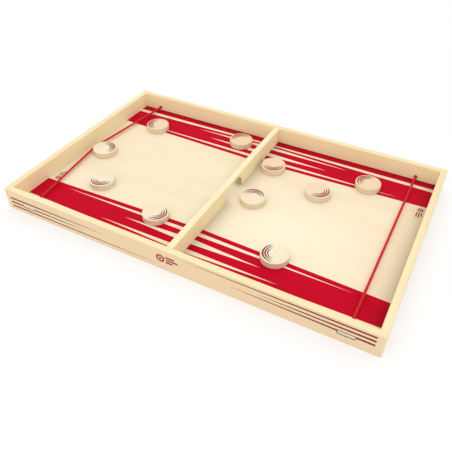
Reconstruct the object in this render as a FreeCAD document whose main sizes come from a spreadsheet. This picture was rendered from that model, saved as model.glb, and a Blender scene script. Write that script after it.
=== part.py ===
import FreeCAD, Part
import math
import os

import Sketcher
from FreeCAD import Placement, Rotation, Vector

# Tabletop sling-puck game: a shallow wooden tray with a centre divider, a gate in the divider,
# an elastic sling across each end and ten wooden pucks. Millimetres.
# Frame: origin at the middle of the tray's underside, +X along the tray, +Y to the back, +Z up.

SIZES = {
    # tray
    "tray_length": 935.0,
    "tray_width": 590.0,
    "tray_height": 59.0,
    "rail_thickness": 15.5,
    "corner_radius": 3.0,
    "rail_roundover": 1.6,
    "rail_foot_roundover": 1.0,
    # playing board, let into a groove in the four rails
    "board_thickness": 6.0,
    "board_underside": 9.5,
    "groove_depth": 6.0,
    # keys hidden in the mitred corners
    "key_width": 12.0,
    "key_thickness": 4.0,
    "key_tall": 30.0,
    "key_start": 22.0,
    # centre divider and its gate
    "divider_thickness": 16.0,
    "gate_width": 90.0,
    "gate_height": 36.0,
    "gate_corner": 28.0,
    "dowel_diameter": 8.0,
    "dowel_in_rail": 10.0,
    "dowel_in_divider": 14.0,
    "dowel_low": 27.0,
    "dowel_high": 48.0,
    # elastic slings and the bars on their ends
    "sling_station": 397.5,
    "sling_level": 24.0,
    "cord_diameter": 6.0,
    "cord_bend": 60.0,
    "bore_diameter": 9.4,
    "bar_length": 36.5,
    "bar_tall": 7.5,
    "bar_thickness": 4.0,
    "bar_gap": 1.1,
    "bar_recess": 5.5,
    "sleeve_diameter": 8.0,
    "sleeve_length": 7.0,
    "socket_clearance": 0.3,
    # pucks
    "puck_diameter": 64.5,
    "puck_thickness": 16.5,
    "puck_roundover": 1.8,
    "loaded_puck_gap": 0.3,
}

# Where the ten pucks lie on the board, centre x and y. The first is loaded against the left sling.
PUCK_PLACES = [
    (-397, -2),
    (-310, -123),
    (-339, 176),
    (-82, 218),
    (-113, -170),
    (51.5, 145.5),
    (64, -5.5),
    (197, 94),
    (298, 186),
    (194, -165),
]

doc = FreeCAD.newDocument("sling_puck_game")
sheet = doc.addObject("Spreadsheet::Sheet", "Sizes")
for row, (alias, value) in enumerate(SIZES.items(), start=1):
    sheet.set(f"A{row}", alias)
    sheet.set(f"B{row}", str(value))
    sheet.setAlias(f"B{row}", alias)
doc.recompute()

# Lengths that several pieces share, as expressions on the sheet.
BOARD_TOP = "(Sizes.board_underside + Sizes.board_thickness)"
INNER_WIDTH = "(Sizes.tray_width - 2 * Sizes.rail_thickness)"
DIVIDER_HEIGHT = f"(Sizes.tray_height - {BOARD_TOP})"
RECESS_LENGTH = "(Sizes.bar_length + 2 * Sizes.bar_gap)"
RECESS_TALL = "(Sizes.bar_tall + 2 * Sizes.bar_gap)"
CORD_RADIUS = "(Sizes.cord_diameter / 2)"
# The cord stops just short of the bottom of the socket in each end bar.
CORD_END = "(Sizes.tray_width / 2 - Sizes.bar_recess - Sizes.socket_clearance)"

parts = []


def value_of(expression):
    """The number that a sheet expression gives."""
    return float(sheet.evalExpression(expression))


def new_body(label):
    """A PartDesign body that becomes one of the exported pieces."""
    body = doc.addObject("PartDesign::Body", label)
    body.Label = label
    parts.append(body)
    return body


def new_sketch(body, name, plane, offset=None):
    """A sketch on one of the body's own origin planes, moved along the plane's normal by offset."""
    sketch = body.newObject("Sketcher::SketchObject", f"{body.Name}_{name}")
    support = next(f for f in body.Origin.OriginFeatures if f.Role == plane)
    sketch.AttachmentSupport = (support, [""])
    sketch.MapMode = "FlatFace"
    if offset:
        sketch.setExpression("AttachmentOffset.Base.z", offset)
    return sketch


def bind(sketch, kind, name, expression, *where):
    """Adds a dimension to a sketch and binds it to the sheet."""
    value = value_of(expression)
    index = sketch.addConstraint(Sketcher.Constraint(kind, *where, value))
    sketch.renameConstraint(index, name)
    sketch.setExpression(f"Constraints.{name}", expression)


ORIGIN = (-1, 1)


def line_loop(sketch, points):
    """Closed outline of straight lines; each corner is bound to its pair of sheet expressions."""
    spots = [Vector(value_of(x), value_of(y), 0) for x, y in points]
    count = len(spots)
    first = sketch.GeometryCount
    for n in range(count):
        sketch.addGeometry(Part.LineSegment(spots[n], spots[(n + 1) % count]), False)
    for n in range(count):
        here, after = first + n, first + (n + 1) % count
        sketch.addConstraint(Sketcher.Constraint("Coincident", here, 2, after, 1))
    for n, (x, y) in enumerate(points):
        for kind, expression, letter in (("DistanceX", x, "x"), ("DistanceY", y, "y")):
            bind(sketch, kind, f"{letter}{first + n}", expression, *ORIGIN, first + n, 1)


def box_outline(sketch, left, right, low, high):
    line_loop(sketch, [(left, low), (right, low), (right, high), (left, high)])


def circle(sketch, x, y, radius):
    """A circle whose centre and radius are sheet expressions."""
    centre = Vector(value_of(x), value_of(y), 0)
    n = sketch.addGeometry(Part.Circle(centre, Vector(0, 0, 1), value_of(radius)), False)
    bind(sketch, "DistanceX", f"x{n}", x, *ORIGIN, n, 3)
    bind(sketch, "DistanceY", f"y{n}", y, *ORIGIN, n, 3)
    bind(sketch, "Radius", f"r{n}", radius, n)


def slot(sketch, x, y, length, tall):
    """A slot with round ends, lying along the sketch's x axis and centred on x, y."""
    middle = Vector(value_of(x), value_of(y), 0)
    radius = value_of(tall) / 2
    reach = value_of(length) / 2 - radius
    right, left = middle + Vector(reach, 0, 0), middle - Vector(reach, 0, 0)
    up, turn = Vector(0, radius, 0), Vector(0, 0, 1)
    quarter = math.pi / 2
    n = sketch.GeometryCount
    sketch.addGeometry(Part.LineSegment(left - up, right - up), False)
    sketch.addGeometry(Part.ArcOfCircle(Part.Circle(right, turn, radius), -quarter, quarter), False)
    sketch.addGeometry(Part.LineSegment(right + up, left + up), False)
    sketch.addGeometry(Part.ArcOfCircle(Part.Circle(left, turn, radius), quarter, 3 * quarter), False)
    for here, after in ((n, n + 1), (n + 1, n + 2), (n + 2, n + 3), (n + 3, n)):
        sketch.addConstraint(Sketcher.Constraint("Tangent", here, 2, after, 1))
    sketch.addConstraint(Sketcher.Constraint("Horizontal", n))
    half_run = f"({length} - {tall}) / 2"
    bind(sketch, "Radius", f"r{n}", f"{tall} / 2", n + 1)
    bind(sketch, "DistanceX", f"right{n}", f"{x} + {half_run}", *ORIGIN, n + 1, 3)
    bind(sketch, "DistanceX", f"left{n}", f"{x} - {half_run}", *ORIGIN, n + 3, 3)
    bind(sketch, "DistanceY", f"level{n}", y, *ORIGIN, n + 1, 3)


def pad(body, sketch, length, symmetric=False, reverse=False):
    feature = body.newObject("PartDesign::Pad", f"{sketch.Name}_pad")
    feature.Profile = sketch
    feature.setExpression("Length", length)
    feature.Midplane = symmetric
    feature.Reversed = reverse
    doc.recompute()
    return feature


def pocket(body, sketch, length, symmetric=False, reverse=False):
    """Cuts the sketch out of the body, and checks that the cut met the solid."""
    before = body.Shape.Volume
    feature = body.newObject("PartDesign::Pocket", f"{sketch.Name}_pocket")
    feature.Profile = sketch
    feature.setExpression("Length", length)
    feature.Midplane = symmetric
    feature.Reversed = reverse
    doc.recompute()
    assert body.Shape.Volume < before - 1, f"{feature.Name} cut nothing"
    return feature


def round_edges(body, name, radius, chosen):
    """Fillets the edges of the body's last feature that chosen() picks."""
    base = body.Tip
    names = [f"Edge{n}" for n, edge in enumerate(base.Shape.Edges, start=1) if chosen(edge)]
    assert names, f"{body.Label} has no edge for {name}"
    fillet = body.newObject("PartDesign::Fillet", f"{body.Name}_{name}")
    fillet.Base = (base, names)
    fillet.setExpression("Radius", radius)
    doc.recompute()
    return fillet


def edge_ends(edge):
    return [vertex.Point for vertex in edge.Vertexes]


def rail_outline(sketch, length):
    """Plan of a rail: outer face on the x axis, mitred at 45 degrees, half of each round corner."""
    half, radius = value_of(f"{length} / 2"), SIZES["corner_radius"]
    thick = SIZES["rail_thickness"]
    run, turn = half - radius, Vector(0, 0, 1)
    right, left = Vector(run, radius, 0), Vector(-run, radius, 0)
    tip = radius * (1 - math.cos(math.pi / 4))
    eighth = math.pi / 4
    shapes = [
        Part.LineSegment(Vector(-run, 0, 0), Vector(run, 0, 0)),
        Part.ArcOfCircle(Part.Circle(right, turn, radius), -2 * eighth, -eighth),
        Part.LineSegment(Vector(half - tip, tip, 0), Vector(half - thick, thick, 0)),
        Part.LineSegment(Vector(half - thick, thick, 0), Vector(thick - half, thick, 0)),
        Part.LineSegment(Vector(thick - half, thick, 0), Vector(tip - half, tip, 0)),
        Part.ArcOfCircle(Part.Circle(left, turn, radius), 5 * eighth, 6 * eighth),
    ]
    sketch.addGeometry(shapes, False)
    outer, right_arc, right_mitre, inner, left_mitre, left_arc = range(6)
    for here, after in ((outer, right_arc), (left_arc, outer)):
        sketch.addConstraint(Sketcher.Constraint("Tangent", here, 2, after, 1))
    for here, after in (
        (right_arc, right_mitre),
        (right_mitre, inner),
        (inner, left_mitre),
        (left_mitre, left_arc),
    ):
        sketch.addConstraint(Sketcher.Constraint("Coincident", here, 2, after, 1))
    sketch.addConstraint(Sketcher.Constraint("PointOnObject", right_arc, 3, right_mitre))
    sketch.addConstraint(Sketcher.Constraint("PointOnObject", left_arc, 3, left_mitre))
    sketch.addConstraint(Sketcher.Constraint("PointOnObject", outer, 1, -1))
    sketch.addConstraint(Sketcher.Constraint("Horizontal", outer))
    sketch.addConstraint(Sketcher.Constraint("Horizontal", inner))
    sketch.addConstraint(Sketcher.Constraint("Equal", right_arc, left_arc))
    bind(sketch, "Radius", "corner", "Sizes.corner_radius", right_arc)
    bind(sketch, "DistanceX", "right_run", f"{length} / 2 - Sizes.corner_radius", *ORIGIN, outer, 2)
    bind(sketch, "DistanceX", "left_run", f"Sizes.corner_radius - {length} / 2", *ORIGIN, outer, 1)
    bind(sketch, "DistanceX", "right_inner", f"{length} / 2 - Sizes.rail_thickness",
         *ORIGIN, inner, 1)
    bind(sketch, "DistanceX", "left_inner", f"Sizes.rail_thickness - {length} / 2",
         *ORIGIN, inner, 2)
    bind(sketch, "DistanceY", "thickness", "Sizes.rail_thickness", *ORIGIN, inner, 1)


def key_outline(sketch, x, y, lean):
    """Plan of a corner key: a narrow rectangle across the mitre, centred on x, y."""
    along = "Sizes.key_width / 2 * cos(45 deg)"
    across = "Sizes.key_thickness / 2 * cos(45 deg)"
    corners = []
    for a, c in ((1, 1), (1, -1), (-1, -1), (-1, 1)):
        corners.append(
            (f"{x} + {lean} * ({a} * {along} - {c} * {across})",
             f"{y} + {a} * {along} + {c} * {across}")
        )
    line_loop(sketch, corners)


def make_rail(label, length, is_long):
    """One side of the tray, built with its outer face on the xz plane and its inside towards +y."""
    body = new_body(label)
    plan = new_sketch(body, "plan", "XY_Plane")
    rail_outline(plan, length)
    pad(body, plan, "Sizes.tray_height")

    groove = new_sketch(body, "groove", "YZ_Plane")
    box_outline(groove, "Sizes.rail_thickness - Sizes.groove_depth", "Sizes.rail_thickness",
                "Sizes.board_underside", BOARD_TOP)
    pocket(body, groove, length, symmetric=True)

    middle = "Sizes.rail_thickness / 2"
    for side in (-1, 1):
        key = new_sketch(body, f"key_slot_{side + 1}", "XY_Plane", "Sizes.key_start")
        key_outline(key, f"{side} * ({length} / 2 - {middle})", middle, side)
        pocket(body, key, "Sizes.key_tall", reverse=True)

    if is_long:
        for side in (-1, 1):
            station = f"{side} * Sizes.sling_station"
            bore = new_sketch(body, f"bore_{side + 1}", "XZ_Plane")
            circle(bore, station, "Sizes.sling_level", "Sizes.bore_diameter / 2")
            pocket(body, bore, "Sizes.rail_thickness")
            recess = new_sketch(body, f"recess_{side + 1}", "XZ_Plane")
            slot(recess, station, "Sizes.sling_level", RECESS_LENGTH, RECESS_TALL)
            pocket(body, recess, "Sizes.bar_recess")
        for level in ("low", "high"):
            dowel = new_sketch(body, f"dowel_{level}", "XZ_Plane", "-Sizes.rail_thickness")
            circle(dowel, "0", f"Sizes.dowel_{level}", "Sizes.dowel_diameter / 2")
            pocket(body, dowel, "Sizes.dowel_in_rail", reverse=True)

    top, thick = SIZES["tray_height"], SIZES["rail_thickness"]

    def runs_along_face(edge, level):
        """Edges of the top or bottom face, without the two that cross it at the mitres."""
        ends = edge_ends(edge)
        if len(ends) != 2 or any(abs(p.z - level) > 0.01 for p in ends):
            return False
        crosses = abs(ends[0].y - ends[1].y) > thick / 3
        return not crosses

    def is_outer_foot(edge):
        ends = edge_ends(edge)
        return runs_along_face(edge, 0) and min(p.y for p in ends) < thick / 3

    round_edges(body, "top_roundover", "Sizes.rail_roundover", lambda e: runs_along_face(e, top))
    round_edges(body, "foot_roundover", "Sizes.rail_foot_roundover", is_outer_foot)
    return body


def place(piece, x="0", y="0", z="0", turn=0):
    """Places a piece; x, y and z are sheet expressions and turn is in degrees about +Z."""
    piece.Placement = Placement(Vector(), Rotation(Vector(0, 0, 1), turn))
    for letter, expression in (("x", x), ("y", y), ("z", z)):
        piece.setExpression(f"Placement.Base.{letter}", expression)


def make_rails():
    long_rails = (
        ("front_rail", "-Sizes.tray_width / 2", 0),
        ("back_rail", "Sizes.tray_width / 2", 180),
    )
    for label, y, turn in long_rails:
        place(make_rail(label, "Sizes.tray_length", True), y=y, turn=turn)
    end_rails = (
        ("left_end_rail", "-Sizes.tray_length / 2", -90),
        ("right_end_rail", "Sizes.tray_length / 2", 90),
    )
    for label, x, turn in end_rails:
        place(make_rail(label, "Sizes.tray_width", False), x=x, turn=turn)


def make_corner_keys():
    """A wooden key glued across each mitre, hidden inside the corner."""
    middle = "Sizes.rail_thickness / 2"
    for y_name, y_side in (("front", -1), ("back", 1)):
        for x_name, x_side in (("left", -1), ("right", 1)):
            body = new_body(f"corner_key_{y_name}_{x_name}")
            plan = new_sketch(body, "plan", "XY_Plane")
            key_outline(plan, "0", "0", -x_side * y_side)
            pad(body, plan, "Sizes.key_tall")
            place(
                body,
                x=f"{x_side} * (Sizes.tray_length / 2 - {middle})",
                y=f"{y_side} * (Sizes.tray_width / 2 - {middle})",
                z="Sizes.key_start",
            )


def make_board():
    """The plywood playing surface, held all round in the rails' groove."""
    body = new_body("playing_board")
    plan = new_sketch(body, "plan", "XY_Plane")
    half_x = "(Sizes.tray_length / 2 - Sizes.rail_thickness + Sizes.groove_depth)"
    half_y = "(Sizes.tray_width / 2 - Sizes.rail_thickness + Sizes.groove_depth)"
    box_outline(plan, f"-{half_x}", half_x, f"-{half_y}", half_y)
    pad(body, plan, "Sizes.board_thickness")
    place(body, z="Sizes.board_underside")


def gate_profile(sketch):
    """Side view of the divider: a board with a round-shouldered gate cut from its lower edge."""
    half_run, height = value_of(f"{INNER_WIDTH} / 2"), value_of(DIVIDER_HEIGHT)
    half_gate, gate_top = SIZES["gate_width"] / 2, SIZES["gate_height"]
    shoulder = SIZES["gate_corner"]
    turn, quarter = Vector(0, 0, 1), math.pi / 2
    left = Vector(shoulder - half_gate, gate_top - shoulder, 0)
    right = Vector(half_gate - shoulder, gate_top - shoulder, 0)
    spots = [
        Vector(-half_gate, 0, 0),
        Vector(-half_run, 0, 0),
        Vector(-half_run, height, 0),
        Vector(half_run, height, 0),
        Vector(half_run, 0, 0),
        Vector(half_gate, 0, 0),
        Vector(half_gate, right.y, 0),
    ]
    shapes = [Part.LineSegment(a, b) for a, b in zip(spots, spots[1:])]
    shapes += [
        Part.ArcOfCircle(Part.Circle(right, turn, shoulder), 0, quarter),
        Part.LineSegment(Vector(right.x, gate_top, 0), Vector(left.x, gate_top, 0)),
        Part.ArcOfCircle(Part.Circle(left, turn, shoulder), quarter, 2 * quarter),
        Part.LineSegment(Vector(-half_gate, left.y, 0), spots[0]),
    ]
    sketch.addGeometry(shapes, False)
    left_foot, left_end, top, right_end, right_foot, right_jamb = range(6)
    right_arc, lintel, left_arc, left_jamb = range(6, 10)
    for here, after in (
        (left_foot, left_end), (left_end, top), (top, right_end),
        (right_end, right_foot), (right_foot, right_jamb), (left_jamb, left_foot),
    ):
        sketch.addConstraint(Sketcher.Constraint("Coincident", here, 2, after, 1))
    arch = (right_jamb, right_arc, lintel, left_arc, left_jamb)
    for here, after in zip(arch, arch[1:]):
        sketch.addConstraint(Sketcher.Constraint("Tangent", here, 2, after, 1))
    for line in (left_foot, top, right_foot, lintel):
        sketch.addConstraint(Sketcher.Constraint("Horizontal", line))
    for line in (left_end, right_end, right_jamb, left_jamb):
        sketch.addConstraint(Sketcher.Constraint("Vertical", line))
    for foot in (left_foot, right_foot):
        sketch.addConstraint(Sketcher.Constraint("PointOnObject", foot, 1, -1))
    sketch.addConstraint(Sketcher.Constraint("Equal", left_arc, right_arc))
    for name, expression, line in (
        ("left_run", f"-{INNER_WIDTH} / 2", left_end),
        ("right_run", f"{INNER_WIDTH} / 2", right_end),
        ("right_gate", "Sizes.gate_width / 2", right_jamb),
        ("left_gate", "-Sizes.gate_width / 2", left_jamb),
    ):
        bind(sketch, "DistanceX", name, expression, *ORIGIN, line, 1)
    bind(sketch, "DistanceY", "height", DIVIDER_HEIGHT, *ORIGIN, top, 1)
    bind(sketch, "DistanceY", "lintel", "Sizes.gate_height", *ORIGIN, lintel, 1)
    bind(sketch, "Radius", "shoulder", "Sizes.gate_corner", right_arc)


def make_divider():
    body = new_body("centre_divider")
    profile = new_sketch(body, "profile", "YZ_Plane")
    gate_profile(profile)
    pad(body, profile, "Sizes.divider_thickness", symmetric=True)
    for side in (-1, 1):
        for level in ("low", "high"):
            end_face = f"{-side} * {INNER_WIDTH} / 2"
            hole = new_sketch(body, f"dowel_{level}_{side + 1}", "XZ_Plane", end_face)
            circle(hole, "0", f"Sizes.dowel_{level} - {BOARD_TOP}", "Sizes.dowel_diameter / 2")
            pocket(body, hole, "Sizes.dowel_in_divider", reverse=side > 0)
    top = value_of(DIVIDER_HEIGHT)

    def is_long_top_edge(edge):
        ends = edge_ends(edge)
        on_top = len(ends) == 2 and all(abs(p.z - top) < 0.01 for p in ends)
        return on_top and abs(ends[0].x - ends[1].x) < 0.01

    round_edges(body, "top_roundover", "Sizes.rail_roundover", is_long_top_edge)
    place(body, z=BOARD_TOP)


def make_divider_dowels():
    """Four wooden dowels between the divider's ends and the long rails, one node."""
    dowels = []
    for side in (-1, 1):
        for level in ("low", "high"):
            dowel = doc.addObject("Part::Cylinder", f"dowel_{level}_{side + 1}")
            dowel.setExpression("Radius", "Sizes.dowel_diameter / 2")
            dowel.setExpression("Height", "Sizes.dowel_in_rail + Sizes.dowel_in_divider")
            # The cylinder lies along -side * Y, so it starts at its outer end inside the rail.
            dowel.Placement = Placement(Vector(), Rotation(Vector(1, 0, 0), 90 * side))
            start = f"{side} * ({INNER_WIDTH} / 2 + Sizes.dowel_in_rail)"
            dowel.setExpression("Placement.Base.y", start)
            dowel.setExpression("Placement.Base.z", f"Sizes.dowel_{level}")
            dowels.append(dowel)
    group = doc.addObject("Part::Compound", "divider_dowels")
    group.Links = dowels
    parts.append(group)


def make_pucks():
    """Flat wooden discs with softened edges, lying on the board."""
    for n, (x, y) in enumerate(PUCK_PLACES, start=1):
        body = new_body(f"puck_{n:02d}")
        plan = new_sketch(body, "plan", "XY_Plane")
        circle(plan, "0", "0", "Sizes.puck_diameter / 2")
        pad(body, plan, "Sizes.puck_thickness")
        round_edges(body, "roundover", "Sizes.puck_roundover", lambda e: len(e.Vertexes) == 1)
        place(body, x=str(x), y=str(y), z=BOARD_TOP)


def make_end_bar(label):
    """Moulded bar on a sling's end: it lies across the bore's mouth, and its sleeve holds the cord."""
    body = new_body(label)
    face = new_sketch(body, "face", "XZ_Plane")
    slot(face, "0", "0", "Sizes.bar_length", "Sizes.bar_tall")
    pad(body, face, "Sizes.bar_thickness", reverse=True)
    sleeve = new_sketch(body, "sleeve", "XZ_Plane", "-Sizes.bar_thickness")
    circle(sleeve, "0", "0", "Sizes.sleeve_diameter / 2")
    pad(body, sleeve, "Sizes.sleeve_length", reverse=True)
    socket = new_sketch(body, "socket", "XZ_Plane", "-Sizes.bar_thickness")
    circle(socket, "0", "0", f"{CORD_RADIUS} + Sizes.socket_clearance")
    pocket(body, socket, "Sizes.sleeve_length")
    return body


def make_end_bars():
    outer_face = "(Sizes.tray_width / 2 - Sizes.bar_recess + Sizes.bar_thickness)"
    for x_name, x_side in (("left", -1), ("right", 1)):
        for y_name, y_side in (("front", -1), ("back", 1)):
            bar = make_end_bar(f"{x_name}_sling_bar_{y_name}")
            place(
                bar,
                x=f"{x_side} * Sizes.sling_station",
                y=f"{y_side} * {outer_face}",
                z="Sizes.sling_level",
                turn=180 if y_side > 0 else 0,
            )


def make_right_sling():
    """The right sling lies straight across the tray, from end bar to end bar."""
    body = new_body("right_sling_cord")
    section = new_sketch(body, "section", "XZ_Plane")
    circle(section, "0", "0", CORD_RADIUS)
    pad(body, section, f"2 * {CORD_END}", symmetric=True)
    place(body, x="Sizes.sling_station", z="Sizes.sling_level")


def half_of_drawn_path(puck_x, puck_y, bend, wrap, end, wall):
    """Points of the drawn cord from its front end to the puck, about its straight line on x = 0.

    The cord leaves the bore at y = -wall, bends with radius bend towards -x and runs straight
    until it touches the circle of radius wrap about the puck.
    """
    start, mouth = Vector(0, -end, 0), Vector(0, -wall, 0)
    bend_centre, wrap_centre = Vector(-bend, -wall, 0), Vector(puck_x, puck_y, 0)
    gap = wrap_centre - bend_centre
    across = bend + wrap
    along = math.sqrt(gap.Length**2 - across**2)
    heading = (gap * along + Vector(-gap.y, gap.x, 0) * across) / gap.Length**2
    to_right = Vector(heading.y, -heading.x, 0)
    return start, mouth, bend_centre + to_right * bend, wrap_centre - to_right * wrap


def make_left_sling():
    """The left sling is drawn back behind the loaded puck, so its cord is a shallow V."""
    body = new_body("left_sling_cord")
    puck_x = f"({PUCK_PLACES[0][0]} + Sizes.sling_station)"
    puck_y = f"({PUCK_PLACES[0][1]})"
    wrap_radius = f"(Sizes.puck_diameter / 2 + {CORD_RADIUS} + Sizes.loaded_puck_gap)"
    names = (puck_x, puck_y, "Sizes.cord_bend", wrap_radius, CORD_END, f"{INNER_WIDTH} / 2")
    x, y, bend, wrap, end, wall = (value_of(name) for name in names)

    front = half_of_drawn_path(x, y, bend, wrap, end, wall)
    back = [Vector(p.x, -p.y, 0) for p in half_of_drawn_path(x, -y, bend, wrap, end, wall)]
    turn = Vector(0, 0, 1)

    def angle(point, centre):
        return math.atan2(point.y - centre.y, point.x - centre.x)

    def arc(centre, radius, first, last):
        ring = Part.Circle(centre, turn, radius)
        return Part.ArcOfCircle(ring, angle(first, centre), angle(last, centre))

    front_bend, back_bend = Vector(-bend, -wall, 0), Vector(-bend, wall, 0)
    puck = Vector(x, y, 0)
    path = new_sketch(body, "path", "XY_Plane")
    path.addGeometry([
        Part.LineSegment(front[0], front[1]),
        arc(front_bend, bend, front[1], front[2]),
        Part.LineSegment(front[2], front[3]),
        arc(puck, wrap, back[3], front[3]),
        Part.LineSegment(back[3], back[2]),
        arc(back_bend, bend, back[2], back[1]),
        Part.LineSegment(back[1], back[0]),
    ], False)
    front_bore, front_arc, front_run, puck_arc, back_run, back_arc, back_bore = range(7)
    for here, here_end, after, after_end in (
        (front_bore, 2, front_arc, 1),
        (front_arc, 2, front_run, 1),
        (front_run, 2, puck_arc, 2),
        (puck_arc, 1, back_run, 1),
        (back_run, 2, back_arc, 1),
        (back_arc, 2, back_bore, 1),
    ):
        path.addConstraint(Sketcher.Constraint("Tangent", here, here_end, after, after_end))
    for bore in (front_bore, back_bore):
        path.addConstraint(Sketcher.Constraint("Vertical", bore))
    path.addConstraint(Sketcher.Constraint("PointOnObject", front_bore, 1, -2))
    path.addConstraint(Sketcher.Constraint("PointOnObject", back_bore, 2, -2))
    path.addConstraint(Sketcher.Constraint("Equal", front_arc, back_arc))
    bind(path, "DistanceY", "front_end", f"-{CORD_END}", *ORIGIN, front_bore, 1)
    bind(path, "DistanceY", "back_end", CORD_END, *ORIGIN, back_bore, 2)
    bind(path, "DistanceY", "front_mouth", f"-{INNER_WIDTH} / 2", *ORIGIN, front_bore, 2)
    bind(path, "DistanceY", "back_mouth", f"{INNER_WIDTH} / 2", *ORIGIN, back_bore, 1)
    bind(path, "Radius", "bend", "Sizes.cord_bend", front_arc)
    bind(path, "Radius", "wrap", wrap_radius, puck_arc)
    bind(path, "DistanceX", "puck_x", puck_x, *ORIGIN, puck_arc, 3)
    bind(path, "DistanceY", "puck_y", puck_y, *ORIGIN, puck_arc, 3)

    section = new_sketch(body, "section", "XZ_Plane", CORD_END)
    circle(section, "0", "0", CORD_RADIUS)
    doc.recompute()
    pipe = body.newObject("PartDesign::AdditivePipe", "left_sling_cord_pipe")
    pipe.Profile = section
    pipe.Spine = path
    doc.recompute()
    place(body, x="-Sizes.sling_station", z="Sizes.sling_level")
    report_cord(body, path)


def report_cord(body, path):
    """Prints the cord's length and radii, and checks its volume against section times length."""
    length = path.Shape.Length
    radii = [round(e.Curve.Radius, 1) for e in path.Shape.Edges if hasattr(e.Curve, "Radius")]
    section_area = math.pi * value_of(CORD_RADIUS) ** 2
    print(f"{body.Label}: length {length:.1f} mm, radii {radii}")
    assert abs(body.Shape.Volume / (section_area * length) - 1) < 0.002, body.Label


make_rails()
make_corner_keys()
make_board()
make_divider()
make_divider_dowels()
make_pucks()
make_end_bars()
make_right_sling()
make_left_sling()
doc.recompute()

for item in doc.Objects:
    assert not {"Invalid", "Error"} & set(item.State), f"{item.Name} is {item.State}"
for piece in parts:
    assert not piece.Shape.isNull() and piece.Shape.isValid(), f"{piece.Label} has a bad shape"

os.makedirs("parts", exist_ok=True)
for piece in parts:
    piece.Shape.exportStep(f"parts/{piece.Label}.step")
print(f"{len(parts)} pieces")
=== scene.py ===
"""Looks of the tabletop sling-puck game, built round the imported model, in its own frame."""
import math

import bpy
import numpy as np
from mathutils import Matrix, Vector


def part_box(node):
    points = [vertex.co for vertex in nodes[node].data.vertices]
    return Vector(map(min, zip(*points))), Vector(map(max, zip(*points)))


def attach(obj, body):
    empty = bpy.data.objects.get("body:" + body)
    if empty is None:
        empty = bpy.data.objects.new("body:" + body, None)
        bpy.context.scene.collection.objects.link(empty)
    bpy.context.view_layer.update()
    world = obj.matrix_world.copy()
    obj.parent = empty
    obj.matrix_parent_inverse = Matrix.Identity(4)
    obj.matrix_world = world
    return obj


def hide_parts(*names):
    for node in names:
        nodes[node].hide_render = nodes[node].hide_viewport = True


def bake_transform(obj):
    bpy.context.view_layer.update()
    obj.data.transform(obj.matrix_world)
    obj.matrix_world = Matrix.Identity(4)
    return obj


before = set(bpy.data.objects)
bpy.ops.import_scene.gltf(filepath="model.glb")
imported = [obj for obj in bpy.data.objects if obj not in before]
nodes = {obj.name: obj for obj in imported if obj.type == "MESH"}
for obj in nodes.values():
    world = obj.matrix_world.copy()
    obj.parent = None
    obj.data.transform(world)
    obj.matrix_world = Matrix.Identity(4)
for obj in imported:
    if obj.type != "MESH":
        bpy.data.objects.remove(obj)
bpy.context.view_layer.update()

MM = 0.001
TRAY = "tray"

OUTER_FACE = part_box("back_rail")[1].y
OUTER_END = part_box("right_end_rail")[1].x
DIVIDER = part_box("centre_divider")[1]  # its right back upper corner
RAIL_THICKNESS = OUTER_FACE - DIVIDER.y
BED_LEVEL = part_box("playing_board")[1].z
RIGHT_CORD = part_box("right_sling_cord")
SLING_STATION = (RIGHT_CORD[0].x + RIGHT_CORD[1].x) / 2
SLING_LEVEL = (RIGHT_CORD[0].z + RIGHT_CORD[1].z) / 2

# ---------------------------------------------------------------- fields and paints


def srgb(red, green, blue):
    """A colour given as on a screen, 0 to 255, as the linear values that a shader takes."""
    def straight(value):
        value /= 255
        return value / 12.92 if value <= 0.04045 else ((value + 0.055) / 1.055) ** 2.4
    return (straight(red), straight(green), straight(blue), 1.0)


class Field:
    """One number at each point of a surface. Plain arithmetic on fields adds the math nodes."""

    def __init__(self, tree, output):
        self.tree = tree
        self.output = output

    def through(self, operation, *others, clamp=False):
        """The result of one math node that takes this field first."""
        node = self.tree.nodes.new("ShaderNodeMath")
        node.operation = operation
        node.use_clamp = clamp
        for socket, value in zip(node.inputs, (self, *others)):
            if isinstance(value, Field):
                self.tree.links.new(value.output, socket)
            else:
                socket.default_value = value
        return Field(self.tree, node.outputs[0])

    def __add__(self, other):
        return self.through("ADD", other)

    def __sub__(self, other):
        return self.through("SUBTRACT", other)

    def __rsub__(self, other):
        return self.through("MULTIPLY_ADD", -1.0, other)

    def __mul__(self, other):
        return self.through("MULTIPLY", other)

    def __truediv__(self, other):
        return self.through("DIVIDE", other)

    def __abs__(self):
        return self.through("ABSOLUTE")

    def ramp(self, low, high):
        """0 up to low, 1 from high on, and straight between them. Low may be above high."""
        slope = 1 / (high - low)
        return self.through("MULTIPLY_ADD", slope, -low * slope, clamp=True)

    def inside(self, soft):
        """1 where the field is positive and 0 where it is negative, with an edge that wide."""
        return self.through("MULTIPLY_ADD", 1 / soft, 0.5, clamp=True)

    def either(self, other):
        return self.through("MAXIMUM", other)

    def both(self, other):
        return self.through("MINIMUM", other)


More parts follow.
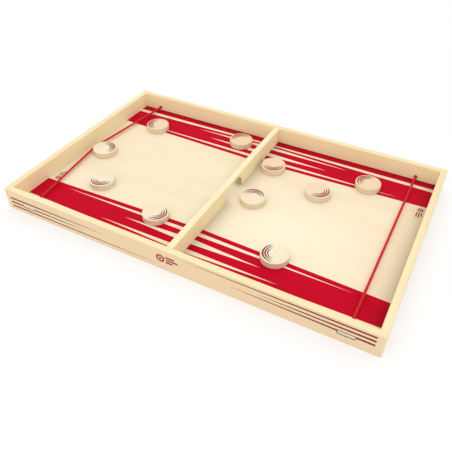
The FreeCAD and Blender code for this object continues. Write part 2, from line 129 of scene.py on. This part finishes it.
class Paint:
    """A procedural material in the making: where the surface is, its patterns and its finish."""

    def __init__(self, name, place="Object"):
        self.material = bpy.data.materials.new(name)
        self.material.use_nodes = True
        self.tree = self.material.node_tree
        self.shader = self.tree.nodes["Principled BSDF"]
        if place == "Object":
            self.place = self.tree.nodes.new("ShaderNodeTexCoord").outputs["Object"]
        else:
            self.place = self.attribute(place).outputs["Vector"]
        split = self.tree.nodes.new("ShaderNodeSeparateXYZ")
        self.tree.links.new(self.place, split.inputs[0])
        self.x, self.y, self.z = (Field(self.tree, output) for output in split.outputs)

    def attribute(self, name):
        node = self.tree.nodes.new("ShaderNodeAttribute")
        node.attribute_name = name
        return node

    def stored(self, name):
        """The field that the mesh keeps under that name."""
        return Field(self.tree, self.attribute(name).outputs["Fac"])

    def noise(self, cells, detail=2.0, shift=0.0, distortion=0.0):
        """Noise from 0 to 1 with that many cells a metre along x, y and z."""
        mapping = self.tree.nodes.new("ShaderNodeMapping")
        mapping.inputs["Scale"].default_value = cells
        mapping.inputs["Location"].default_value = (shift, 1.7 * shift, 2.3 * shift)
        noise = self.tree.nodes.new("ShaderNodeTexNoise")
        noise.inputs["Scale"].default_value = 1.0
        noise.inputs["Detail"].default_value = detail
        noise.inputs["Distortion"].default_value = distortion
        self.tree.links.new(self.place, mapping.inputs["Vector"])
        self.tree.links.new(mapping.outputs[0], noise.inputs["Vector"])
        return Field(self.tree, noise.outputs[0])

    def mix(self, mask, under, over):
        """The colour over where the mask is 1, and the colour under where it is 0."""
        node = self.tree.nodes.new("ShaderNodeMix")
        node.data_type = "RGBA"
        sockets = [socket for socket in node.inputs if socket.enabled]
        self.tree.links.new(mask.output, sockets[0])
        for socket, colour in zip(sockets[1:], (under, over)):
            if isinstance(colour, tuple):
                socket.default_value = colour
            else:
                self.tree.links.new(colour, socket)
        return next(socket for socket in node.outputs if socket.enabled)

    def finish(self, colour, roughness, height, depth, specular=0.3):
        """Gives the shader its colour and roughness, and a bump of that depth from the height."""
        self.tree.links.new(colour, self.shader.inputs["Base Color"])
        self.tree.links.new(roughness.output, self.shader.inputs["Roughness"])
        self.shader.inputs["Specular IOR Level"].default_value = specular
        bump = self.tree.nodes.new("ShaderNodeBump")
        bump.inputs["Distance"].default_value = depth
        self.tree.links.new(height.output, bump.inputs["Height"])
        self.tree.links.new(bump.outputs[0], self.shader.inputs["Normal"])
        return self.material


# ---------------------------------------------------------------- wood

# Metres that a soft edge between two tones is wide, and that a face's tone goes into the wood.
SOFT = 0.2 * MM
SKIN = 0.3 * MM

WOOD_PALE = srgb(240, 232, 190)
WOOD_WARM = srgb(236, 221, 176)
WOOD_LINE = srgb(226, 195, 143)
WOOD_PORE = srgb(201, 158, 107)
WOOD_OUTER_SHADE = srgb(229, 199, 163)
WOOD_INNER_LIGHT = srgb(253, 241, 197)
WOOD_TOASTED = srgb(228, 203, 158)
WOOD_SAWN_AND_SHADED = srgb(196, 174, 132)

# Growth lines: radians of their wave a metre, and how far a bend in the grain shifts them.
LINES_ACROSS, LINES_BEND = 900.0, 46.0


def stretched(along, lengthwise, across):
    """Cells a metre for a pattern that runs along x, y or z."""
    return tuple(lengthwise if axis == along else across for axis in "xyz")


class Grain:
    """The patterns of sawn wood along one axis: soft tone, growth lines, pores and fibre.

    Each noise is given by its cells a metre along the grain and across it.
    """

    def __init__(self, paint, along, shift):
        def noise(lengthwise, across, **more):
            return paint.noise(stretched(along, lengthwise, across), shift=shift, **more)

        self.tone = noise(1.6, 13.0, detail=2.0).ramp(0.3, 0.7)
        bend = noise(1.1, 7.0, detail=1.0)
        cross = {"x": paint.y + paint.z, "y": paint.x + paint.z, "z": paint.x + paint.y}[along]
        phase = (cross * LINES_ACROSS + bend * LINES_BEND).through("SINE")
        self.lines = phase.ramp(0.1, 1.0) * noise(2.6, 38.0, detail=2.0).ramp(0.35, 0.75)
        self.streaks = noise(5.0, 170.0, detail=3.0).ramp(0.42, 0.72)
        self.pores = noise(260.0, 2400.0, detail=1.0).ramp(0.62, 0.74)
        self.fibre = noise(60.0, 1900.0, detail=2.0)

    def colour(self, paint, pale, warm, line, pore, strength=1.0):
        shade = paint.mix(self.tone, pale, warm)
        shade = paint.mix(self.lines * (0.55 * strength), shade, line)
        shade = paint.mix(self.streaks * (0.34 * strength), shade, line)
        return paint.mix(self.pores * (0.42 * strength), shade, pore)

    def roughness(self):
        return self.streaks * 0.08 + self.fibre * 0.12 + 0.44

    def height(self):
        return self.fibre * 0.5 + self.lines * 0.25 - self.pores * 0.8


# How much painted shade the outer faces take, and how much painted light the inner ones of the
# long rails take.
OUTER_SHADE_SHARE, INNER_LIGHT_SHARE = 0.72, 0.6
CORNER_START, CORNER_FULL = 120 * MM, 270 * MM

GATE_WIDTH, GATE_HEIGHT, GATE_CORNER = 90 * MM, 36 * MM, 28 * MM
BORE_RADIUS = 4.7 * MM
BORE_PAINTED_SHADE = srgb(84, 30, 20)
SOCKET_GAP, SOCKET_DEPTH, SOCKET_LIP = 1.1 * MM, 5.5 * MM, 0.8 * MM


def bore_painted_shade(paint):
    """Painted shade in the drilled holes of the slings and the sockets of their bars."""
    across, up = abs(paint.x) - SLING_STATION, paint.z - SLING_LEVEL
    distance = (across * across + up * up).through("SQRT")
    bore = (BORE_RADIUS + SKIN - distance).inside(SOFT)
    low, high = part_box("right_sling_bar_front")
    tall = (high.z - low.z) / 2 + SOCKET_GAP
    beyond = (abs(across) - (high.x - low.x) / 2 - SOCKET_GAP + tall).through("MAXIMUM", 0.0)
    socket = (tall + SKIN - (beyond * beyond + up * up).through("SQRT")).inside(SOFT)
    depth = OUTER_FACE - abs(paint.y)
    sunk = (depth - SOCKET_LIP).inside(2 * SOFT).both((SOCKET_DEPTH + SKIN - depth).inside(SOFT))
    return bore.either(socket.both(sunk))


def gate_end_grain_and_shade(paint):
    """The sawn edge of the divider's gate: end grain, so darker, with painted shade darkening it
    further.
    """
    aside = (abs(paint.y) - (GATE_WIDTH / 2 - GATE_CORNER)).through("MAXIMUM", 0.0)
    above = (paint.z - (BED_LEVEL + GATE_HEIGHT - GATE_CORNER)).through("MAXIMUM", 0.0)
    distance = (aside * aside + above * above).through("SQRT")
    return (GATE_CORNER + SKIN - distance).inside(SOFT)


def near_corners(paint):
    """How near a point of an end rail or the divider is to the long rails, from 0 to 1."""
    return abs(paint.y).ramp(CORNER_START, CORNER_FULL)


def face_painted_light(paint, along, colour):
    """A rail's planed sides: painted shade a little darker outside, painted light a little
    yellower inside.
    """
    across, outside = (abs(paint.y), OUTER_FACE) if along == "x" else (abs(paint.x), OUTER_END)
    outer = (across - outside + SKIN).inside(SOFT)
    inner = (outside - RAIL_THICKNESS + SKIN - across).inside(SOFT)
    # Painted shade darkens the outer face, and painted light yellows the inner face.
    colour = paint.mix(outer * OUTER_SHADE_SHARE, colour, WOOD_OUTER_SHADE)
    light_share = INNER_LIGHT_SHARE if along == "x" else near_corners(paint) * 0.5 + 0.4
    return paint.mix(inner * light_share, colour, WOOD_INNER_LIGHT)


def wood(name, along, shift, marks=None, strength=1.25, rail=True, warmth=0.0):
    """Pale satin wood along an axis. Marks adds a print: it returns a mask and the ink colour."""
    paint = Paint(name)
    grain = Grain(paint, along, shift)
    colour = grain.colour(paint, WOOD_PALE, WOOD_WARM, WOOD_LINE, WOOD_PORE, strength)
    if rail:
        colour = paint.mix(grain.tone * 0.2 + warmth, colour, WOOD_TOASTED)
        # Painted shade on the outer faces and painted light on the inner faces of the rail.
        colour = face_painted_light(paint, along, colour)
    if along == "x":
        # Painted shade inside the sling bores and the bar sockets.
        colour = paint.mix(bore_painted_shade(paint), colour, BORE_PAINTED_SHADE)
    if marks:
        mask, ink = marks(paint)
        colour = paint.mix(mask * (grain.fibre * 0.12 + 0.92), colour, ink)
    return paint.finish(colour, grain.roughness(), grain.height(), 0.05 * MM)


def divider_wood():
    """The divider's wood: sides made yellower with painted light, like the rails' inner faces, and
    a sawn gate.
    """
    paint = Paint("divider_wood")
    grain = Grain(paint, "y", 12.8)
    colour = grain.colour(paint, WOOD_PALE, WOOD_WARM, WOOD_LINE, WOOD_PORE)
    sides = (abs(paint.x) - DIVIDER.x + SKIN).inside(SOFT)
    # Painted light on the divider's sides.
    colour = paint.mix(sides * (near_corners(paint) * 0.6 + 0.2), colour, WOOD_INNER_LIGHT)
    # End grain and painted shade on the gate's sawn edge.
    colour = paint.mix(gate_end_grain_and_shade(paint), colour, WOOD_SAWN_AND_SHADED)
    return paint.finish(colour, grain.roughness(), grain.height(), 0.05 * MM)


# ---------------------------------------------------------------- prints

EDGE = 0.35 * MM
INK_RED = srgb(190, 10, 39)
INK_RED_CLOUD = srgb(183, 8, 36)
WALL_PAINTED_SHADE = srgb(14, 10, 14)
INK_DEEP = srgb(158, 6, 32)
INK_LINE = srgb(124, 12, 6)

# Painted shade on the board beside the walls: how far it reaches from the ends and divider
# and from the long rails, and how steeply it falls off.
END_REACH, SIDE_REACH, WALL_FALL = 50 * MM, 32 * MM, 1.6
BRIGHT_END = (-400 * MM, -100 * MM)

# Wedges of bare wood in the red bands of the bed, in millimetres: the two edges beside the
# divider, the far tip and its distance from the middle line.
BED_WEDGES = ((170.2, 181.6, 374, 180.8), (196.2, 212, 178, 205.5), (230, 242.5, 229, 232.8))
BED_WEDGE_ROOT = 10
BED_BAND = (157, 171)
BED_STRIPE = ((249.5, 241), (255.5, 254))
BED_END = 450
BED_PRINT_OFF = 1.1 * MM  # how far the whole print lies towards the back

# The small mark at each end of the bed: rings as radius and thickness, and three dashes, each
# with its distance from the middle and its far end. The marks lie a little to the right.
BED_MARK_OFF = 3.5 * MM
BED_MARK_CENTRE = (435.5, 156.5)
BED_MARK_RINGS = ((5.6, 3.0), (1.2, 2.6))
BED_MARK_START, BED_MARK_DASH = 146.5, 3.0
BED_MARK_DASHES = ((430, 127), (435.5, 125), (441, 132))

# Lines on the outer faces of the long rails, in millimetres: where each is thickest, where it
# runs out, its height at both, and its thickness.
RAIL_LINES = ((-452.5, -167, 36, 36, 4.9), (-452.5, -222, 24.3, 24.3, 4.9),
              (-452.5, -31, 13, 13, 4.4), (452, 39, 50.5, 50.5, 4.9),
              (452, 213, 39.5, 39.5, 5.5), (452, 155, 28, 31, 5.5))
RAIL_LINE_TAPER = 0.6
CUT_OFF = 0.002  # share of a line's length over which its two ends are cut off

# The emblem between them: rings, and dashes with their two ends and their level.
EMBLEM_CENTRE = (-16, 33)
EMBLEM_RINGS = ((8.6, 4.4), (1.6, 4.2))
EMBLEM_DASHES = ((-3, 20, 40.2), (-1, 28, 33), (-3, 15, 25.8))
EMBLEM_DASH = 4.6


def straight_line(u, first, second):
    """The field v of the straight line through two points (u, v), given in millimetres."""
    slope = (second[1] - first[1]) / (second[0] - first[0])
    return u.through("MULTIPLY_ADD", slope, (first[1] - slope * first[0]) * MM)


def dash(u, v, start, end, level, thickness):
    """A level dash with square ends, in millimetres."""
    middle, half = (start + end) / 2 * MM, abs(end - start) / 2 * MM
    lengthwise = (half - abs(u - middle)).inside(EDGE)
    return lengthwise.both((thickness / 2 * MM - abs(v - level * MM)).inside(EDGE))


def ring(u, v, centre, radius, thickness):
    """A ring about a centre, in millimetres. A thickness of twice the radius or more is a disc."""
    across, up = u - centre[0] * MM, v - centre[1] * MM
    distance = (across * across + up * up).through("SQRT")
    return (thickness / 2 * MM - abs(distance - radius * MM)).inside(EDGE)


def bed_print(paint):
    """The bed's red bands with their bare wedges and stripes, and a small mark at each end."""
    u, v = abs(paint.x), abs(paint.y - BED_PRINT_OFF)
    root = BED_WEDGE_ROOT
    band_edge = straight_line(u, (root, BED_BAND[0]), (BED_END, BED_BAND[1]))
    red = (v - band_edge).inside(EDGE)
    for low, high, tip, tip_level in BED_WEDGES:
        under = v - straight_line(u, (root, low), (tip, tip_level))
        over = straight_line(u, (root, high), (tip, tip_level)) - v
        red = red.both(1.0 - under.both(over).inside(EDGE))
    under, over = (straight_line(u, (root, near), (BED_END, far)) for near, far in BED_STRIPE)
    red = red.both(1.0 - (v - under).both(over - v).inside(EDGE))

    turned = paint.y * paint.x.through("SIGN")
    u = abs(paint.x - BED_MARK_OFF)
    mark = None
    for radius, thickness in BED_MARK_RINGS:
        circle = ring(u, turned, BED_MARK_CENTRE, radius, thickness)
        mark = mark.either(circle) if mark else circle
    for level, end in BED_MARK_DASHES:
        mark = mark.either(dash(turned, u, BED_MARK_START, end, level, BED_MARK_DASH))
    return red, mark


def rail_print(side):
    """Marks for the outer face of a long rail: side is -1 for the front one and 1 for the back."""
    def marks(paint):
        u, v = paint.x * -side, paint.z
        shape = None
        for thick, thin, level, far_level, thickness in RAIL_LINES:
            left = (thin - u * (1 / MM)) / (thin - thick)
            middle = straight_line(u, (thick, level), (thin, far_level))
            half = left.ramp(0.0, 1.0).through("POWER", RAIL_LINE_TAPER)
            half = half * (thickness / 2 * MM)
            line = (half - abs(v - middle)).inside(EDGE)
            line = line.both(left.inside(CUT_OFF)).both((1.0 - left).inside(CUT_OFF))
            shape = shape.either(line) if shape else line
        emblem = None
        for radius, thickness in EMBLEM_RINGS:
            circle = ring(u, v, EMBLEM_CENTRE, radius, thickness)
            emblem = emblem.either(circle) if emblem else circle
        for start, end, level in EMBLEM_DASHES:
            emblem = emblem.either(dash(u, v, start, end, level, EMBLEM_DASH))
        face = (paint.y * side - OUTER_FACE + SKIN).inside(SOFT / 2)
        ink = paint.mix(emblem, INK_LINE, INK_DEEP)
        return shape.either(emblem).both(face), ink
    return marks


def wall_painted_shades(paint):
    """How much painted shade darkens the board beside the end walls and divider, and beside the
    long walls.
    """
    end = OUTER_END - RAIL_THICKNESS
    beside_gate = (GATE_WIDTH / 2 - abs(paint.y)).through("MAXIMUM", 0.0)
    ends = (end - abs(paint.x)).both(abs(paint.x) - DIVIDER.x + beside_gate * 2.0)
    sides = OUTER_FACE - RAIL_THICKNESS - abs(paint.y)
    ends, sides = (gap.ramp(reach, 0.0).through("POWER", WALL_FALL)
                   for gap, reach in ((ends, END_REACH), (sides, SIDE_REACH)))
    right = paint.x.ramp(*BRIGHT_END)  # the left end stands in more light
    back = paint.y.ramp(-MM, MM)  # and so does the front
    return ends * (right * 0.2 + 0.12), sides * (back * 0.26 + 0.1)


# Pale tone, warm tone, growth lines and pores of the board's birch, its clouds, and a paler
# patch in the right half with its middle and its reach both ways, in metres.
BOARD_TONES = (srgb(237, 224, 196), srgb(234, 217, 186), srgb(224, 203, 169), srgb(202, 174, 136))
BOARD_CLOUD = srgb(231, 209, 177)
BOARD_PALER = srgb(240, 236, 213)
PALER_PLACE, PALER_REACH = (0.17, -0.07), (0.26, 0.17)


def printed_board():
    """Birch ply with the bed's print on its upper face, and painted shade beside the walls."""
    paint = Paint("printed_board")
    grain = Grain(paint, "x", 4.1)
    bare = grain.colour(paint, *BOARD_TONES, strength=0.5)
    cloud = paint.noise((9.0, 22.0, 22.0), detail=3.0, shift=2.0).ramp(0.35, 0.75)
    bare = paint.mix(cloud * 0.3, bare, BOARD_CLOUD)
    red, mark = bed_print(paint)
    (x, y), (long, wide) = PALER_PLACE, PALER_REACH
    across, up = (paint.x - x) * (1 / long), (paint.y - y) * (1 / wide)
    paler_share = (across * across + up * up).through("SQRT").ramp(1.0, 0.1)
    bare = paint.mix(paler_share * 0.5, bare, BOARD_PALER)
    upper = (paint.z - BED_LEVEL + SOFT).inside(SOFT / 4)
    colour = paint.mix(red.both(upper), bare, paint.mix(cloud, INK_RED, INK_RED_CLOUD))
    colour = paint.mix(mark.both(upper), colour, INK_DEEP)
    # Painted shade on the board beside the walls and divider.
    for darker in wall_painted_shades(paint):
        colour = paint.mix(darker * upper, colour, WALL_PAINTED_SHADE)
    roughness = grain.roughness() - red.both(upper) * 0.07
    return paint.finish(colour, roughness, grain.height() + red * 0.4, 0.03 * MM, specular=0.02)


# ---------------------------------------------------------------- pucks

# How warm the wood of a puck is, from 0 to 1, where it differs from the rest.
PUCK_WARMTH = {1: 0.2, 3: 0.63, 4: 0.63, 5: 0.17, 6: 0.63, 7: 0.3, 8: 0.56, 9: 0.63}
PUCK_TURNS = {1: 50, 2: -75, 3: 200, 4: 135, 5: -20, 6: -65, 7: 100, 8: -35, 9: 150, 10: 200}
PUCK_TONES = (srgb(233, 227, 203), srgb(230, 220, 192), srgb(216, 198, 163), srgb(192, 164, 126))
PUCK_WARM = srgb(228, 192, 152)
PUCK_SIDE_SHADE = srgb(190, 158, 136)
PUCK_ROUNDOVER = 1.8 * MM

# Three crescents on a puck's top: share of its radius, degrees to each side, thickness in mm.
# Their ink is redder in the middle.
CRESCENTS = ((0.825, 84, 4.4), (0.65, 80, 3.8), (0.485, 74, 3.1))
CRESCENT_TAPER = 0.8
CRESCENT_MIDDLE, CRESCENT_ENDS = srgb(130, 2, 44), srgb(20, 0, 24)


def puck_paint(number):
    """Turned pale wood with three crescents printed on the top, at the puck's own heading, and
    painted shade on its sides.
    """
    low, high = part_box(f"puck_{number:02d}")
    centre, radius = (low + high) / 2, (high.x - low.x) / 2
    heading = math.radians(PUCK_TURNS[number])
    paint = Paint(f"puck_{number:02d}_wood")
    across, up = paint.x - centre.x, paint.y - centre.y
    ahead = across * math.cos(heading) + up * math.sin(heading)
    aside = up * math.cos(heading) - across * math.sin(heading)
    distance = (across * across + up * up).through("SQRT")
    angle = abs(aside.through("ARCTAN2", ahead))

    shape = None
    for part, span, thickness in CRESCENTS:
        share = angle / math.radians(span)
        half = (1.0 - share * share).ramp(0.0, 1.0).through("POWER", CRESCENT_TAPER)
        half = half * (thickness / 2 * MM)
        crescent = (half - abs(distance - radius * part)).inside(EDGE)
        crescent = crescent.both((1.0 - share).inside(0.01))
        shape = shape.either(crescent) if shape else crescent
    top = (paint.z - high.z + SKIN).inside(SOFT / 2)
    shape = shape.both(top)

    grain = Grain(paint, "xyx"[number % 3], 7.0 + 1.3 * number)
    colour = grain.colour(paint, *PUCK_TONES, strength=0.7)
    warmth = grain.tone * 0.12 + PUCK_WARMTH.get(number, 0.0)
    # Painted shade on the puck's sides below the roundover: darker and less warm.
    turned = (high.z - PUCK_ROUNDOVER - paint.z).inside(4 * SOFT)
    colour = paint.mix(warmth * (1.0 - turned * 0.7), colour, PUCK_WARM)
    colour = paint.mix(turned * 0.26, colour, PUCK_SIDE_SHADE)
    ink = paint.mix(angle.ramp(0.6, 1.4), CRESCENT_MIDDLE, CRESCENT_ENDS)
    colour = paint.mix(shape * (grain.fibre * 0.1 + 0.93), colour, ink)
    return paint.finish(colour, grain.roughness() - 0.05, grain.height(), 0.04 * MM, specular=0.25)


# ---------------------------------------------------------------- small parts

NYLON_PALE, NYLON_GREY = srgb(226, 222, 208), srgb(210, 204, 188)
YARN_BRIGHT, YARN_RED = srgb(230, 50, 46), srgb(218, 38, 40)
YARN_TRACER, YARN_CREVICE_SHADE = srgb(124, 8, 20), srgb(116, 8, 18)


def nylon_paint():
    """Moulded off-white nylon, slightly mottled."""
    paint = Paint("bar_nylon")
    mottle = paint.noise((700.0, 700.0, 700.0), detail=3.0)
    flow = paint.noise((60.0, 300.0, 300.0), detail=2.0, distortion=0.6)
    colour = paint.mix(flow, NYLON_PALE, NYLON_GREY)
    return paint.finish(colour, mottle * 0.15 + 0.34, mottle, 0.03 * MM, specular=0.4)


def cord_paint():
    """Red braided elastic: painted shade in the crevices, dark tracer yarns, and the fine twist of
    each yarn.
    """
    paint = Paint("elastic_cord", place="cord_place")
    lift = paint.stored("lift")
    tracer = paint.stored("tracer")
    yarn = paint.noise((1500.0, 5200.0, 5200.0), detail=2.0)
    cover = paint.mix(yarn.ramp(0.3, 0.7), YARN_BRIGHT, YARN_RED)
    cover = paint.mix(tracer * 0.95, cover, YARN_TRACER)
    # Painted shade in the crevices between the yarns.
    colour = paint.mix(lift.ramp(0.35, 0.0) * 0.7, cover, YARN_CREVICE_SHADE)
    height = yarn * 0.6 + lift * 0.4
    return paint.finish(colour, yarn * 0.2 + 0.55, height, 0.06 * MM, specular=0.15)


# ---------------------------------------------------------------- slings

AROUND = 6          # yarns each way round the cord
STEPS = 4           # mesh steps across one yarn
CELL = 2.24 * MM    # length of one crossing along the cord
RELIEF = 0.38 * MM  # depth of the crevices between yarns
CORD_BEND = 60 * MM
SHARES = (0.06, 0.2, 0.8, 0.94, 1.0)


def drawn_half(distance, wall, bend, wrap, centre):
    """How far the drawn cord stands back from its straight line, at distances from the puck.

    The cord leaves the wall's bore square to it, bends with one radius, runs straight, and
    wraps the puck: a circle of radius wrap whose middle is that far from the straight line.
    """
    gap = Vector((centre + bend, -wall))
    across = bend + wrap
    along = math.sqrt(gap.length_squared - across**2)
    lean = math.atan2(across, along) - math.atan2(gap.x, -gap.y)
    bend_end = wall - bend * math.sin(lean)
    wrap_end = wrap * math.sin(lean)
    near_puck = -centre + np.sqrt(np.maximum(wrap**2 - distance**2, 0))
    near_wall = bend - np.sqrt(np.maximum(bend**2 - (wall - distance) ** 2, 0))
    start = bend - bend * math.cos(lean)
    straight = start + (bend_end - distance) * math.tan(lean)
    set_back = np.where(distance < wrap_end, near_puck, straight)
    set_back = np.where(distance > bend_end, near_wall, set_back)
    return np.where(distance > wall, 0.0, set_back)


def blend_time(share):
    """When a smooth blend from 0 to 1 reaches that share."""
    return 0.5 - math.sin(math.asin(1 - 2 * share) / 3)


def braid(rows):
    """Height of the braid from 0 to 1 and the tracer yarns, on a grid of rows and columns."""
    row, column = np.meshgrid(rows, np.arange(AROUND * STEPS), indexing="ij")
    one, other = (column + row) / STEPS, (column - row) / STEPS
    one_over = (np.floor(one) + np.floor(other)) % 2 == 0
    one_part, other_part = np.sin(np.pi * (one % 1)), np.sin(np.pi * (other % 1))
    one_high = one_part**0.8 * other_part**0.35
    other_high = other_part**0.8 * one_part**0.35
    tracer = one_over & (np.floor(one) % 3 == 0)
    return np.where(one_over, one_high, other_high), tracer.astype(float)


def cord_piece(name, y, x, lean, z, radius, first, last, paint):
    """A closed length of braided cord from one row of the sling to another."""
    rows = np.arange(first, last + 1)
    columns = AROUND * STEPS
    lift, tracer = braid(rows)
    turn = np.arange(columns) * (2 * math.pi / columns)
    size = radius - RELIEF * (1 - lift)
    places = np.empty((len(rows), columns, 3))
    places[:, :, 0] = x[rows, None] + size * np.cos(turn) / np.cos(lean[rows, None])
    places[:, :, 1] = y[rows, None]
    places[:, :, 2] = z + size * np.sin(turn)

    def at(row, column):
        return row * columns + column % columns

    faces = []
    for row in range(len(rows) - 1):
        for column in range(columns):
            a, b = at(row, column), at(row, column + 1)
            c, d = at(row + 1, column + 1), at(row + 1, column)
            real = row + first
            if (column - real) % STEPS == 0:
                faces += [(a, c, b), (a, d, c)]
            elif (column + real + 1) % STEPS == 0:
                faces += [(a, d, b), (b, d, c)]
            else:
                faces.append((d, c, b, a))
    sides = len(faces)
    faces.append(tuple(range(columns)))
    faces.append(tuple(at(len(rows) - 1, columns - 1 - column) for column in range(columns)))

    mesh = bpy.data.meshes.new(name)
    mesh.from_pydata(places.reshape(-1, 3).tolist(), [], faces)
    smooth = np.ones(len(faces), bool)
    smooth[sides:] = False
    mesh.polygons.foreach_set("use_smooth", smooth)
    for key, values in (("lift", lift), ("tracer", tracer)):
        stored = mesh.attributes.new(key, "FLOAT", "POINT")
        stored.data.foreach_set("value", values.astype(np.float32).ravel())
    own = np.stack([np.broadcast_to(y[rows, None], size.shape),
                    size * np.cos(turn), size * np.sin(turn)], axis=2)
    stored = mesh.attributes.new("cord_place", "FLOAT_VECTOR", "POINT")
    stored.data.foreach_set("vector", own.astype(np.float32).ravel())
    mesh.materials.append(paint)
    piece = bpy.data.objects.new(name, mesh)
    bpy.context.scene.collection.objects.link(piece)
    return piece


def make_sling(side, straight_x, middle_y, set_back, share_of, wall, paint):
    """One sling as lengths of cord, cut where each y makes given shares of the middle's travel.

    Set_back is how far the cord stands behind straight_x at each y, and share_of how much of
    the middle's travel each y makes.
    """
    node, body = f"{side}_sling_cord", f"{side}_sling"
    low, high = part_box(node)
    z, radius = (low.z + high.z) / 2, (high.z - low.z) / 2
    count = round((high.y - low.y) * STEPS / CELL)
    y = np.linspace(low.y, high.y, count + 1)
    x = straight_x + set_back(y)
    lean = np.arctan(np.gradient(x, y))
    share = share_of(y)

    middle = int(np.argmin(abs(y - middle_y)))
    share[middle] = 1.0
    for end, rows in (("front", range(0, middle + 1)), ("back", range(count, middle - 1, -1))):
        rows = np.array(rows)
        cuts = [int(np.argmax(abs(y[rows]) <= wall))]
        cuts += [int(np.argmax(share[rows] >= part)) for part in SHARES[:-1]] + [len(rows) - 1]
        lengths = [(0, cuts[0])] + list(zip(cuts, cuts[1:]))
        for number, (here, after) in enumerate(lengths):
            first, last = sorted((int(rows[here]), int(rows[after])))
            piece = cord_piece(f"{side}_sling_{end}_{number + 1}", y, x, lean, z, radius,
                               first, last, paint)
            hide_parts(node)
            if number == 0:
                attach(piece, TRAY)
                continue
            time_here = blend_time(float(share[rows[here]]) if number > 1 else 0.0)
            time_after = blend_time(float(share[rows[after]]))
            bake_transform(piece)


def make_slings():
    wall = DIVIDER.y
    paint = cord_paint()

    low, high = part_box("puck_01")
    puck = (low + high) / 2
    cord_low, cord_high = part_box("left_sling_cord")
    radius = (cord_high.z - cord_low.z) / 2
    straight_x = cord_high.x - radius
    reach = straight_x - (cord_low.x + radius)
    wrap = puck.x - (cord_low.x + radius)

    def set_back(y):
        front, back = (drawn_half(abs(y - puck.y), gap, CORD_BEND, wrap, puck.x - straight_x)
                       for gap in (wall + puck.y, wall - puck.y))
        return -np.where(y < puck.y, front, back)

    make_sling("left", straight_x, puck.y, set_back, lambda y: -set_back(y) / reach, wall, paint)

    make_sling("right", SLING_STATION, 0.0, lambda y: 0 * y,
               lambda y: np.clip(1 - abs(y) / wall, 0, 1), wall, paint)


# ---------------------------------------------------------------- studio

CAMERA_PLACE = (0.47356, -0.91222, 0.80021)
CAMERA_TURN = (48.900, -0.072, 28.192)
CAMERA_LENS = 40.53

FLOOR_REACH = 8.0
PAPER_TONES = (srgb(196, 196, 196), srgb(193, 193, 193))
PAPER_GLOW = 0.38
SKY_LOW, SKY_HIGH = 0.8, 1.3  # brightness of the studio at the horizon and overhead
KEY_PLACE, KEY_SIZE, KEY_POWER = (0.2, -1.2, 1.9), 2.0, 6


def make_camera():
    data = bpy.data.cameras.new("camera")
    data.lens = CAMERA_LENS
    camera = bpy.data.objects.new("camera", data)
    camera.location = CAMERA_PLACE
    camera.rotation_euler = tuple(math.radians(angle) for angle in CAMERA_TURN)
    bpy.context.scene.collection.objects.link(camera)
    bpy.context.scene.camera = camera


def make_floor():
    reach = FLOOR_REACH
    mesh = bpy.data.meshes.new("floor")
    corners = [(-reach, -reach, 0), (reach, -reach, 0), (reach, reach, 0), (-reach, reach, 0)]
    mesh.from_pydata(corners, [], [(0, 1, 2, 3)])
    paint = Paint("floor_paper")
    cloud = paint.noise((0.8, 0.8, 0.8), detail=2.0)
    colour = paint.mix(cloud, *PAPER_TONES)
    paint.shader.inputs["Emission Color"].default_value = (1.0, 1.0, 1.0, 1.0)
    paint.shader.inputs["Emission Strength"].default_value = PAPER_GLOW
    mesh.materials.append(paint.finish(colour, cloud * 0.1 + 0.85, cloud, 0.01 * MM, specular=0.0))
    floor = bpy.data.objects.new("floor", mesh)
    bpy.context.scene.collection.objects.link(floor)


def make_light():
    world = bpy.data.worlds.new("studio")
    world.use_nodes = True
    tree = world.node_tree
    up = tree.nodes.new("ShaderNodeSeparateXYZ")
    place = tree.nodes.new("ShaderNodeTexCoord")
    tree.links.new(place.outputs["Generated"], up.inputs[0])
    bright = Field(tree, up.outputs["Z"]).ramp(0.0, 1.0) * (SKY_HIGH - SKY_LOW) + SKY_LOW
    tree.links.new(bright.output, tree.nodes["Background"].inputs["Strength"])
    tree.nodes["Background"].inputs["Color"].default_value = (1.0, 1.0, 1.0, 1.0)
    bpy.context.scene.world = world

    data = bpy.data.lights.new("key", "AREA")
    data.shape = "DISK"
    data.size = KEY_SIZE
    data.energy = KEY_POWER
    key = bpy.data.objects.new("key", data)
    key.location = KEY_PLACE
    key.rotation_euler = (Vector((0, 0, 0)) - key.location).to_track_quat("-Z", "Y").to_euler()
    bpy.context.scene.collection.objects.link(key)
    bpy.context.scene.view_settings.view_transform = "Standard"


# ---------------------------------------------------------------- putting it together


def dress(node, material):
    """The node keeps its shape and takes this material in every slot."""
    data = nodes[node].data
    if not data.materials:
        data.materials.append(material)
    for number in range(len(data.materials)):
        data.materials[number] = material


dress("front_rail", wood("front_rail_wood", "x", 0.0, rail_print(-1)))
dress("back_rail", wood("back_rail_wood", "x", 3.7, rail_print(1), warmth=0.3))
dress("left_end_rail", wood("left_end_rail_wood", "y", 5.9, warmth=0.15))
dress("right_end_rail", wood("right_end_rail_wood", "y", 9.4, warmth=0.3))
dress("centre_divider", divider_wood())
dress("playing_board", printed_board())
hardwood = wood("joint_hardwood", "z", 15.2, strength=1.6, rail=False)
for node in nodes:
    if node.startswith("corner_key") or node == "divider_dowels":
        dress(node, hardwood)
nylon = nylon_paint()
for node in nodes:
    if "_sling_bar_" in node:
        dress(node, nylon)
for number in PUCK_TURNS:
    dress(f"puck_{number:02d}", puck_paint(number))

make_slings()
make_camera()
make_floor()
make_light()
